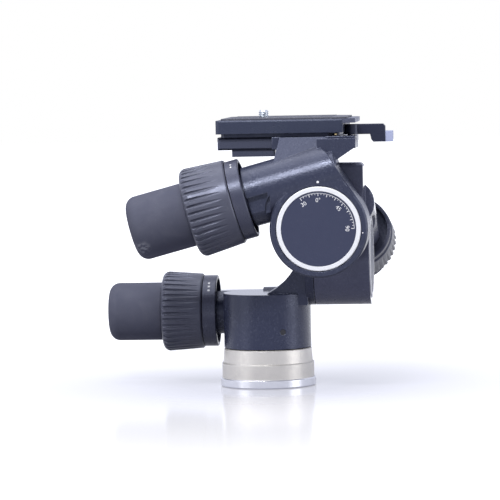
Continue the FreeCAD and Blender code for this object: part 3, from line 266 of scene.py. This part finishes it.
bronze = turned_metal("gear_bronze", (0.55, 0.36, 0.15), 0.35, 0.2)
for node in ("pan_worm_wheel", "lateral_worm_wheel", "front_worm_wheel",
             "pan_friction_washer"):
    wear(node, bronze)
worm_steel = turned_metal("worm_steel", (0.42, 0.42, 0.45), 0.22, 0.1)
bush_bronze = turned_metal("bush_bronze", (0.48, 0.34, 0.18), 0.5, 0.3)
spring_steel = turned_metal("spring_steel", (0.3, 0.31, 0.34), 0.3, 0.15)
for axis in ("pan", "lateral", "front"):
    wear(axis + "_worm", worm_steel)
    wear(axis + "_sleeve", bush_bronze)
    wear(axis + "_end_bush", bush_bronze)
    wear(axis + "_clutch_spring", spring_steel)

# ---- castings ----
# Die-cast aluminium housings in black textured powder coat: the pan body, the lateral module and
# the tilt module with its neck. A few flat faces are smooth and glossy, and a small black plug
# closes a hole in the pan body.

COAT_SHEEN = (0.72, 0.77, 1.0)
UPWARD, SIDEWAYS = (0.0, 0.0, 1.0), (1.0, 0.0, 0.0)
PAN_SHOULDER = 0.0570


def powder_coat(name, colour, smooth_way, smooth_from=None):
    """Grainy coat, smooth and glossy on faces that look one way, above a height if given. Its pale
    edges mix real wear with a painted edge highlight, and its pale flecks are painted glints.
    """
    smooth_rough, grain_strength, smooth_strength, blend = 0.1, 0.6, 0.04, 0.0002
    # The pale edge colour and its larger share, and the pale flecks, paint edge highlights and
    # glitter glints into the coat.
    finish, tree, shader = coat(name, colour, tuple(c * 1.3 + 0.004 for c in colour),
                                (0.30, 0.32, 0.42), 0.28, 1.3, 0.09, 0.7, smudge=0.4,
                                edge_wear_and_highlight_share=0.6, sheen_tint=COAT_SHEEN, fleck=0.14)
    spot = add(tree, "TexCoord").outputs
    facing = add(tree, "VectorMath", {"operation": "DOT_PRODUCT"}, _0=spot["Normal"],
                 _1=smooth_way).outputs["Value"]
    smooth = ramp(tree, facing, 0.97, 0.99)
    if smooth_from is not None:
        height = add(tree, "SeparateXYZ", None, Vector=spot["Object"]).outputs["Z"]
        smooth = math_node(tree, "MULTIPLY", smooth,
                           ramp(tree, height, smooth_from, smooth_from + blend))
    bump = shader.inputs["Normal"].links[0].from_node
    tree.links.new(ramp(tree, smooth, 0.0, 1.0, grain_strength, smooth_strength),
                   bump.inputs["Strength"])
    rough = shader.inputs["Roughness"].links[0].from_socket
    glossy = add(tree, "Mix", {"data_type": "FLOAT"}, _0=smooth, _2=rough,
                 _3=smooth_rough)
    tree.links.new(glossy.outputs[0], shader.inputs["Roughness"])
    return finish


wear("pan_housing", powder_coat("pan_body_coat", (0.019, 0.023, 0.048), UPWARD, PAN_SHOULDER))
# The lateral module wears the same black coat as the others; its lighter colour is painted light
# for its recessed, shaded faces.
wear("lateral_housing", powder_coat("lateral_coat_painted_lighter", (0.080, 0.084, 0.128), SIDEWAYS))
wear("tilt_housing", powder_coat("tilt_module_coat", (0.024, 0.028, 0.052), UPWARD))
plug_black, _, _ = coat("plug_black", (0.012, 0.013, 0.02), (0.02, 0.02, 0.03),
                        (0.06, 0.06, 0.08), 0.5, 0.3, 0.02, 0.3)
wear("pan_plug", plug_black)

# ---- knobs ----
# Each knob has a soft rubber grip moulded over a plastic core, which is keyed to its worm. The
# rubber is matt, and the front grip has a pale scuff low on its end.


def rubber():
    """Matt rubber, with the front grip's scuff as a broken pale patch."""
    scuff_at, scuff_core, scuff_reach = (-0.0692, -0.0735, 0.0912), 0.0022, 0.0058
    scuff_colour, scuff_share = (0.34, 0.35, 0.39, 1.0), 0.6
    finish, tree, shader = coat("grip_rubber", (0.070, 0.073, 0.102), (0.098, 0.100, 0.128),
                                (0.15, 0.15, 0.18), 0.78, 0.3, 0.02, 1.2, smudge=0.4,
                                sheen_tint=COAT_SHEEN)
    shader.inputs["Specular IOR Level"].default_value = 0.3
    place = add(tree, "TexCoord").outputs["Object"]
    patch = add(tree, "TexNoise", None, Vector=place, Scale=420.0, Detail=5.0)
    reach = add(tree, "VectorMath", {"operation": "DISTANCE"}, _0=place,
                _1=scuff_at).outputs["Value"]
    near = ramp(tree, reach, scuff_core, scuff_reach, 1.0, 0.0)
    scuff = math_node(tree, "MULTIPLY", near, ramp(tree, patch.outputs["Fac"], 0.42, 0.6))
    colour = shader.inputs["Base Color"].links[0].from_socket
    colour = blend_colour(tree, math_node(tree, "MULTIPLY", scuff, scuff_share), colour,
                          scuff_colour)
    tree.links.new(colour, shader.inputs["Base Color"])
    return finish


grip_rubber = rubber()
core_plastic, _, _ = coat("core_plastic", (0.015, 0.015, 0.02), (0.02, 0.02, 0.03),
                          (0.05, 0.05, 0.06), 0.5, 0.2, 0.01, 0.3)
for axis in ("pan", "lateral", "front"):
    wear(axis + "_grip", grip_rubber)
    wear(axis + "_core", core_plastic)

# ---- clutch collars and index rings ----
# The ribbed collars are moulded in black nylon with a satin gloss on the ridges. The index ring
# behind each is satin black and carries small white dots.

collar_nylon, _, _ = coat("collar_nylon", (0.062, 0.065, 0.090), (0.080, 0.083, 0.108),
                          (0.2, 0.2, 0.25), 0.34, 0.3, 0.01, 0.35, smudge=0.5,
                          sheen_tint=COAT_SHEEN)
ring_satin, _, _ = coat("ring_satin", (0.042, 0.045, 0.07), (0.062, 0.064, 0.09),
                        (0.17, 0.17, 0.2), 0.3, 0.9, 0.04, 0.5, smudge=0.7,
                        sheen_tint=COAT_SHEEN)
for axis in ("pan", "lateral", "front"):
    wear(axis + "_collar", collar_nylon)
    wear(axis + "_index_ring", ring_satin)

# ---- dials ----
# A satin black disc in a white ring, printed with a degree scale from 30 through 0 and 45 to 90.
# The front dial is read against a white dot on the housing that turns round it.

dial_black, _, _ = coat("dial_black", (0.032, 0.037, 0.070), (0.044, 0.049, 0.084),
                        (0.1, 0.1, 0.12), 0.45, 1.0, 0.05, 0.2, sheen_tint=COAT_SHEEN)
dial_white, _, _ = coat("dial_white", (0.8, 0.81, 0.84), (0.76, 0.77, 0.8),
                        (0.88, 0.88, 0.9), 0.35, 0.3, 0.004, 0.3, smudge=0.3, edge_wear_and_highlight_share=0.2)
for axis in ("lateral", "front"):
    wear(axis + "_dial", dial_black)
    wear(axis + "_dial_ring", dial_white)
print_white, _, _ = coat("print_white", (0.85, 0.85, 0.87), (0.7, 0.7, 0.74),
                         (0.85, 0.85, 0.87), 0.5, 0.15, 0.004, 0.1, smudge=0.8)


def finished(name, mesh, finish, body):
    """Links a mesh as a piece that rides on a body."""
    piece = bpy.data.objects.new(name, mesh)
    bpy.context.scene.collection.objects.link(piece)
    mesh.materials.clear()
    mesh.materials.append(finish)
    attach(piece, body)
    return piece


def close_mesh(form, name):
    """Turns a bmesh into a mesh with its faces outwards."""
    bmesh.ops.remove_doubles(form, verts=form.verts, dist=1e-7)
    bmesh.ops.recalc_face_normals(form, faces=form.faces)
    mesh = bpy.data.meshes.new(name)
    form.to_mesh(mesh)
    form.free()
    return mesh


def dial_scale(place):
    """Ticks every 5 degrees, longer every 15, under a thin arc; local +X is 90, local +Y is 0."""
    form = bmesh.new()
    edge, ink, arc_width = 0.0217, 0.00006, 0.00025
    long_tick, short_tick = (0.00038, 0.0019), (0.00030, 0.0011)
    first, last, past_end = -30, 90, 1.0
    for degree in range(first, last + 1, 5):
        width, length = long_tick if degree % 15 == 0 else short_tick
        turn = Matrix.Rotation(math.radians(-degree), 4, "Z")
        size = Matrix.Diagonal((width, length, ink, 1.0))
        move = Matrix.Translation((0.0, edge - length / 2, ink / 2))
        bmesh.ops.create_cube(form, size=1.0, matrix=turn @ move @ size)
    arc = []
    for radius in (edge - arc_width, edge):
        for height in (0.0, ink):
            arc.append(form.verts.new((radius, 0.0, height)))
    ends = [form.edges.new((arc[a], arc[b])) for a, b in ((0, 2), (2, 3), (3, 1), (1, 0))]
    bmesh.ops.rotate(form, verts=arc, cent=(0, 0, 0),
                     matrix=Matrix.Rotation(math.radians(-past_end), 3, "Z"))
    spun = bmesh.ops.spin(form, geom=arc + ends, cent=(0, 0, 0), axis=(0, 0, 1),
                          angle=math.radians(last - first + 2.0 * past_end), steps=60)
    bmesh.ops.contextual_create(form, geom=ends)
    bmesh.ops.contextual_create(form, geom=[g for g in spun["geom_last"]
                                            if isinstance(g, bmesh.types.BMEdge)])
    bmesh.ops.transform(form, matrix=place, verts=form.verts)
    return form


def dial_numbers(name, place):
    """The scale's numbers, each turned to its own place."""
    height, reach, half_ink = 0.0035, 0.0173, 0.00003
    meshes = []
    for text, degree in (("30", -30), ("0°", 0), ("45", 45), ("90", 90)):
        curve = bpy.data.curves.new(name + text[0], "FONT")
        curve.body = text
        curve.align_x = "CENTER"
        curve.align_y = "CENTER"
        curve.size = height
        curve.extrude = half_ink
        word = bpy.data.objects.new(name + text[0], curve)
        bpy.context.scene.collection.objects.link(word)
        bpy.context.view_layer.update()
        mesh = bpy.data.meshes.new_from_object(word.evaluated_get(
            bpy.context.evaluated_depsgraph_get()))
        turn = Matrix.Rotation(math.radians(-degree), 4, "Z")
        mesh.transform(place @ turn @ Matrix.Translation((0.0, reach, half_ink)))
        meshes.append(mesh)
        bpy.data.objects.remove(word)
    form = bmesh.new()
    for mesh in meshes:
        form.from_mesh(mesh)
    return form


def printed_dial(axis, body, place):
    """One dial's scale and numbers."""
    mesh = close_mesh(dial_scale(place), axis + "_dial_scale")
    finished(axis + "_dial_scale", mesh, print_white, body)
    mesh = close_mesh(dial_numbers(axis + "_number_", place), axis + "_dial_numbers")
    finished(axis + "_dial_numbers", mesh, print_white, body)


TILT_AXIS = Vector((0.0381, 0.0, 0.1018))
dial_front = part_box("front_dial")[0].y
front_place = Matrix.Translation((TILT_AXIS.x, dial_front, TILT_AXIS.z)) @ Matrix.Rotation(
    math.radians(90.0), 4, "X")
printed_dial("front", "lateral_body", front_place)
LATERAL_AXIS = Vector((0.0, 0.0, 0.080))
dial_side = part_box("lateral_dial")[1].x
lateral_place = (Matrix.Translation((dial_side, 0.0, LATERAL_AXIS.z))
                 @ Matrix.Rotation(math.radians(90.0), 4, "Z")
                 @ Matrix.Rotation(math.radians(90.0), 4, "X"))
printed_dial("lateral", "pan_body", lateral_place)


def dots(name, spots, finish, body, radius):
    """Small domed dots, each at a point with its outward direction."""
    form = bmesh.new()
    flatness = 0.12
    for point, outward in spots:
        turn = Vector(outward).to_track_quat("Z", "Y").to_matrix().to_4x4()
        size = Matrix.Diagonal((1.0, 1.0, flatness, 1.0))
        bmesh.ops.create_uvsphere(form, u_segments=20, v_segments=10, radius=radius,
                                  matrix=Matrix.Translation(point) @ turn @ size)
    mesh = close_mesh(form, name)
    for face in mesh.polygons:
        face.use_smooth = True
    return finished(name, mesh, finish, body)


RING_PROUD = 0.0006
front_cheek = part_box("front_dial_ring")[0].y + RING_PROUD


def on_cheek(degree, reach, proud):
    """A spot on the tilt module's front face: degrees from the top, reach from the axis."""
    turn = math.radians(degree)
    return ((TILT_AXIS.x + reach * math.sin(turn), front_cheek - proud,
             TILT_AXIS.z + reach * math.cos(turn)), (0, -1, 0))


for mark, degree, reach, proud, radius in (("front_pointer", 0.0, 0.0283, 0.0002, 0.0008),
                                           ("front_end_mark", 96.0, 0.0268, 0.0, 0.0004)):
    dots(mark, [on_cheek(degree, reach, proud)], print_white, "tilt_body", radius)


def ring_dots(axis, body, foot, way, up, station, radius, angles, size):
    """Dots round an index ring: foot and way give the knob's axis, station is measured along it."""
    side = Vector((0.0, -1.0, 0.0)) if axis != "lateral" else Vector((1.0, 0.0, 0.0))
    spots = []
    for degree in angles:
        turn = math.radians(degree)
        outward = side * math.cos(turn) + Vector(up) * math.sin(turn)
        spots.append((Vector(foot) + Vector(way) * station + outward * radius, outward))
    dots(axis + "_ring_dots", spots, print_white, body, size)


FRONT_INCLINE, LATERAL_INCLINE = math.radians(15.0), math.radians(17.0)
front_cos, front_sin = math.cos(FRONT_INCLINE), math.sin(FRONT_INCLINE)
lateral_cos, lateral_sin = math.cos(LATERAL_INCLINE), math.sin(LATERAL_INCLINE)
ring_dots("pan", "pan_body", (0.0, 0.0255, 0.0453), (-1, 0, 0), (0, 0, 1),
          0.0376, 0.0226, (38.5, 46.5, 54.5), 0.0008)
ring_dots("front", "tilt_body", (0.030439, -0.058, 0.130391), (-front_cos, 0, -front_sin),
          (-front_sin, 0, front_cos), 0.0415, 0.0246, (57.5, 64.0), 0.0006)
ring_dots("lateral", "lateral_body", (0.0542, 0.008654, 0.108307),
          (0, lateral_cos, -lateral_sin), (0, lateral_sin, lateral_cos),
          0.0525, 0.0218, (40.0, 48.5, 57.0), 0.0008)

# ---- quick-release seat, level and screws ----
# Cast seat in black coat, held on the neck's shelf by steel screws. The level is a green vial in
# a stepped block under the seat's side.

seat_coat, _, _ = coat("seat_coat", (0.022, 0.027, 0.05), (0.032, 0.038, 0.062),
                       (0.18, 0.19, 0.25), 0.36, 1.2, 0.07, 0.6, smudge=0.4,
                       sheen_tint=COAT_SHEEN)
for node in ("plate_seat", "seat_rim"):
    wear(node, seat_coat)
level_coat, _, _ = coat("level_coat", (0.046, 0.051, 0.080), (0.056, 0.061, 0.090),
                        (0.22, 0.23, 0.29), 0.3, 0.6, 0.03, 0.6, smudge=0.4,
                        sheen_tint=COAT_SHEEN)
wear("level_block", level_coat)


def vial_finish():
    """Clear green vial: a pale bubble between two black lines, measured along its length."""
    line_at, line_half, line_edge = 0.0032, 0.0002, 0.00026
    bubble_at, bubble_reach, bubble_edge = (-0.0021, 0.0, 0.0013), 0.0015, 0.0017
    finish, tree, shader = coat("level_vial", (0.5, 0.8, 0.12), (0.6, 0.85, 0.2),
                                (0.7, 0.9, 0.4), 0.1, 1.0, 0.001, 0.2)
    low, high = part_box("level_vial")
    middle = (low + high) / 2
    place = add(tree, "TexCoord").outputs["Object"]
    apart = add(tree, "VectorMath", {"operation": "SUBTRACT"}, _0=place, _1=middle).outputs[0]
    along = add(tree, "SeparateXYZ", None, Vector=apart).outputs
    reach = math_node(tree, "ABSOLUTE", along["Y"])
    line = math_node(tree, "ABSOLUTE", math_node(tree, "SUBTRACT", reach, line_at))
    ink = ramp(tree, line, line_half, line_edge, 1.0, 0.0)
    squash = add(tree, "VectorMath", {"operation": "MULTIPLY"}, _0=apart, _1=(1.0, 0.7, 1.0))
    crown = add(tree, "VectorMath", {"operation": "DISTANCE"}, _0=squash.outputs[0],
                _1=bubble_at).outputs["Value"]
    bubble = ramp(tree, crown, bubble_reach, bubble_edge, 1.0, 0.0)
    colour = shader.inputs["Base Color"].links[0].from_socket
    colour = blend_colour(tree, bubble, colour, (0.85, 0.95, 0.6, 1.0))
    colour = blend_colour(tree, ink, colour, (0.01, 0.01, 0.01, 1.0))
    tree.links.new(colour, shader.inputs["Base Color"])
    shader.inputs["Coat Weight"].default_value = 1.0
    return finish


wear("level_vial", vial_finish())

# ---- release plate and camera screw ----
# Anodised plate with a thin ribbed rubber pad, and a bright 1/4 inch screw with a flat round head
# under the plate. The screw turns freely in it.

plate_alloy, _, _ = coat("plate_alloy", (0.04, 0.045, 0.075), (0.055, 0.06, 0.09),
                         (0.3, 0.31, 0.36), 0.34, 0.9, 0.03, 0.4, metallic=0.3,
                         sheen_tint=COAT_SHEEN)
wear("quick_release_plate", plate_alloy)
pad_rubber, _, _ = coat("pad_rubber", (0.05, 0.054, 0.078), (0.075, 0.078, 0.1),
                        (0.12, 0.12, 0.15), 0.5, 0.5, 0.02, 0.3)
wear("plate_pad", pad_rubber)


def pad_ribs():
    """Fine ribs along the pad that grip the camera, left out round the screw."""
    low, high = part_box("plate_pad")
    form = bmesh.new()
    count, width, thickness, edge = 24, 0.0013, 0.0005, 0.0002
    margin, left_margin, right_margin, screw_room = 0.003, 0.004, 0.010, 0.009
    left, right = low.x + left_margin, high.x - right_margin
    step = (high.y - low.y - 2.0 * margin) / (count - 1)
    for i in range(count):
        y = low.y + margin + i * step
        spans = [(left, right)]
        if abs(y) < screw_room:
            spans = [(left, -screw_room), (screw_room, right)]
        for start, end in spans:
            size = Matrix.Diagonal((end - start, width, thickness, 1.0))
            move = Matrix.Translation(((start + end) / 2, y, high.z))
            bmesh.ops.create_cube(form, size=1.0, matrix=move @ size)
    upper = [e for e in form.edges if all(v.co.z > high.z for v in e.verts)]
    bmesh.ops.bevel(form, geom=upper, offset=edge, segments=2, profile=0.5, material=-1,
                    affect="EDGES")
    finished("pad_ribs", close_mesh(form, "pad_ribs"), pad_rubber, "release_plate")


pad_ribs()
chrome = turned_metal("bright_screw", (0.62, 0.66, 0.7), 0.15, 0.2)


def camera_screw():
    """Flat round head under the plate and a 1/4 inch thread of 20 turns to the inch."""
    low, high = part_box("camera_screw")
    pitch, crest, root = 0.0254 / 20, 0.0254 / 8, 0.0027
    head, rim, chamfer, tip = 0.0014, 0.0070, 0.0003, 0.0005
    head_gap, tip_gap, sink, turns_short = 0.0001, 0.0004, 0.0002, 0.75
    length = high.z - low.z
    form = bmesh.new()
    outline = [(0.0, 0.0), (rim - chamfer, 0.0), (rim, chamfer), (rim, head - chamfer),
               (rim - chamfer, head), (root, head), (root, length - tip),
               (root - tip, length), (0.0, length)]
    verts = [form.verts.new((x, 0.0, low.z + z)) for x, z in outline]
    edges = [form.edges.new(pair) for pair in zip(verts, verts[1:])]
    bmesh.ops.spin(form, geom=verts + edges, cent=(0, 0, 0), axis=(0, 0, 1),
                   angle=math.tau, steps=48, use_merge=True)
    start = low.z + head + head_gap
    turns = math.floor((high.z - tip_gap - start) / pitch * 4) / 4 - turns_short
    sunk = root - sink
    ridge = [(sunk, 0.0), (crest, 0.0005), (crest, 0.00066), (sunk, 0.00116)]
    verts = [form.verts.new((x, 0.0, start + z)) for x, z in ridge]
    edges = [form.edges.new((verts[a], verts[(a + 1) % 4])) for a in range(4)]
    steps = int(turns * 32)
    spun = bmesh.ops.spin(form, geom=verts + edges, cent=(0, 0, 0), axis=(0, 0, 1),
                          dvec=(0.0, 0.0, pitch * turns / steps), angle=math.tau * turns,
                          steps=steps)
    bmesh.ops.contextual_create(form, geom=edges)
    bmesh.ops.contextual_create(form, geom=[g for g in spun["geom_last"]
                                            if isinstance(g, bmesh.types.BMEdge)])
    piece = finished("camera_screw_turned", close_mesh(form, "camera_screw_turned"), chrome,
                     "camera_screw")
    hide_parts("camera_screw")


camera_screw()

# ---- clamp lever and safety catch ----
# Moulded black lever on a steel pin, with a pale blue-grey tip. The catch is a small brass button
# in the seat's side.

lever_black, _, _ = coat("lever_black", (0.010, 0.012, 0.028), (0.018, 0.02, 0.036),
                         (0.09, 0.09, 0.13), 0.32, 0.4, 0.012, 0.5, sheen_tint=COAT_SHEEN)
wear("clamp_lever", lever_black)
tip_grey, _, _ = coat("tip_grey", (0.40, 0.44, 0.64), (0.46, 0.50, 0.68),
                      (0.7, 0.74, 0.86), 0.4, 0.3, 0.01, 0.5)
wear("lever_tip", tip_grey)
catch_brass = turned_metal("catch_brass", (0.75, 0.6, 0.32), 0.2, 0.15)
wear("safety_catch", catch_brass)

# ---- floor and lamps ----
# Pale table with a faint gloss in a bright surround. A wide soft lamp hangs overhead, a narrow
# one stands high in front, and a weaker one stands at each side.


def backdrop_rays(tree):
    """The light path, and a mask of the rays that see the backdrop: direct, mirrored, through."""
    path = add(tree, "LightPath").outputs
    seen = math_node(tree, "MAXIMUM", path["Is Camera Ray"], path["Is Glossy Ray"])
    return path, math_node(tree, "MAXIMUM", seen, path["Is Transmission Ray"])


def pale_floor():
    """A floor with a painted glow: weak under the head, which paints a soft shade there, and rising
    to white away from it.
    """
    near_tint, far_tint = (0.28, 0.28, 0.33, 1.0), (0.0, 0.0, 0.0, 1.0)
    shaded_near_glow, far_glow = 0.24, 1.0
    finish = bpy.data.materials.new("studio_white")
    finish.use_nodes = True
    tree = finish.node_tree
    shader = tree.nodes["Principled BSDF"]
    shader.inputs["Roughness"].default_value = 0.12
    shader.inputs["Specular IOR Level"].default_value = 0.14
    _, seen = backdrop_rays(tree)
    place = add(tree, "TexCoord").outputs["Object"]
    reach = add(tree, "VectorMath", {"operation": "LENGTH"}, _0=place).outputs["Value"]
    far = ramp(tree, reach, 0.10, 0.60)
    tint = blend_colour(tree, far, near_tint, far_tint)
    tree.links.new(tint, shader.inputs["Base Color"])
    # The glow is painted light seen by camera and mirrored rays; its low value near the head paints
    # a soft shade round it.
    glow = math_node(tree, "MULTIPLY", seen, ramp(tree, reach, 0.05, 0.42, shaded_near_glow, far_glow))
    tree.links.new(glow, shader.inputs["Emission Strength"])
    shader.inputs["Emission Color"].default_value = (1.0, 1.0, 1.0, 1.0)
    form = bmesh.new()
    bmesh.ops.create_grid(form, x_segments=1, y_segments=1, size=6.0)
    mesh = bpy.data.meshes.new("studio_floor")
    form.to_mesh(mesh)
    form.free()
    floor = bpy.data.objects.new("studio_floor", mesh)
    mesh.materials.append(finish)
    bpy.context.scene.collection.objects.link(floor)


def surround():
    """Even pale light, white where it is seen and dimmer where a gloss mirrors the front."""
    cool, white = (0.82, 0.85, 1.0, 1.0), (1.0, 1.0, 1.0, 1.0)
    lit, mirrored_loss = 0.5, 0.6
    world = bpy.data.worlds.new("studio")
    bpy.context.scene.world = world
    world.use_nodes = True
    tree = world.node_tree
    back = tree.nodes["Background"]
    path, seen = backdrop_rays(tree)
    tint = blend_colour(tree, path["Is Camera Ray"], cool, white)
    tree.links.new(tint, back.inputs["Color"])
    way = add(tree, "TexCoord").outputs["Generated"]
    depth = add(tree, "SeparateXYZ", None, Vector=way).outputs["Y"]
    mirrored = math_node(tree, "MULTIPLY", path["Is Glossy Ray"],
                         ramp(tree, depth, -0.5, 0.2, mirrored_loss, 0.0))
    seen = math_node(tree, "SUBTRACT", seen, mirrored)
    tree.links.new(ramp(tree, seen, 0.0, 1.0, lit, 1.0), back.inputs["Strength"])


def lamp(name, place, size, power):
    """A soft rectangular lamp turned to the head's middle."""
    middle = Vector((0.0, 0.0, 0.1))
    light = bpy.data.lights.new(name, "AREA")
    light.shape = "RECTANGLE"
    light.size, light.size_y = size
    light.energy = power
    holder = bpy.data.objects.new(name, light)
    holder.location = place
    holder.rotation_mode = "QUATERNION"
    holder.rotation_quaternion = (middle - Vector(place)).to_track_quat("-Z", "Y")
    bpy.context.scene.collection.objects.link(holder)


pale_floor()
surround()
lamp("overhead", (-0.1, -0.05, 0.95), (0.9, 0.6), 4.5)
lamp("front_high", (-0.2, -0.8, 0.85), (0.36, 0.14), 9.0)
lamp("left_side", (-0.9, -0.6, 0.45), (0.6, 0.8), 3.2)
lamp("right_side", (1.0, -0.3, 0.35), (0.5, 0.8), 3.6)

# ---- camera ----
# Long lens, 2 m away. It stands a little higher than the head's top and a little to the right of
# its front, and is rolled by about a degree.


def stand_camera():
    """Looks at a point up the pan axis and a little to its left."""
    height, aside, distance = 0.0850, 0.01015, 2.016
    azimuth, elevation, roll = (math.radians(a) for a in (4.9, 3.4, 1.1))
    right = Vector((math.cos(azimuth), math.sin(azimuth), 0.0))
    up = Vector((-math.sin(azimuth) * math.sin(elevation),
                 math.cos(azimuth) * math.sin(elevation), math.cos(elevation)))
    back = right.cross(up)
    aim = up * height - right * aside
    camera = bpy.data.objects.new("camera", bpy.data.cameras.new("camera"))
    camera.data.lens = 230.4
    camera.data.sensor_width = 36.0
    camera.data.clip_end = 50.0
    tilted_right = right * math.cos(roll) - up * math.sin(roll)
    tilted_up = up * math.cos(roll) + right * math.sin(roll)
    turn = Matrix((tilted_right, tilted_up, back)).transposed()
    camera.matrix_world = Matrix.Translation(aim + back * distance) @ turn.to_4x4()
    bpy.context.scene.collection.objects.link(camera)
    bpy.context.scene.camera = camera


stand_camera()
bpy.context.scene.view_settings.view_transform = "Standard"
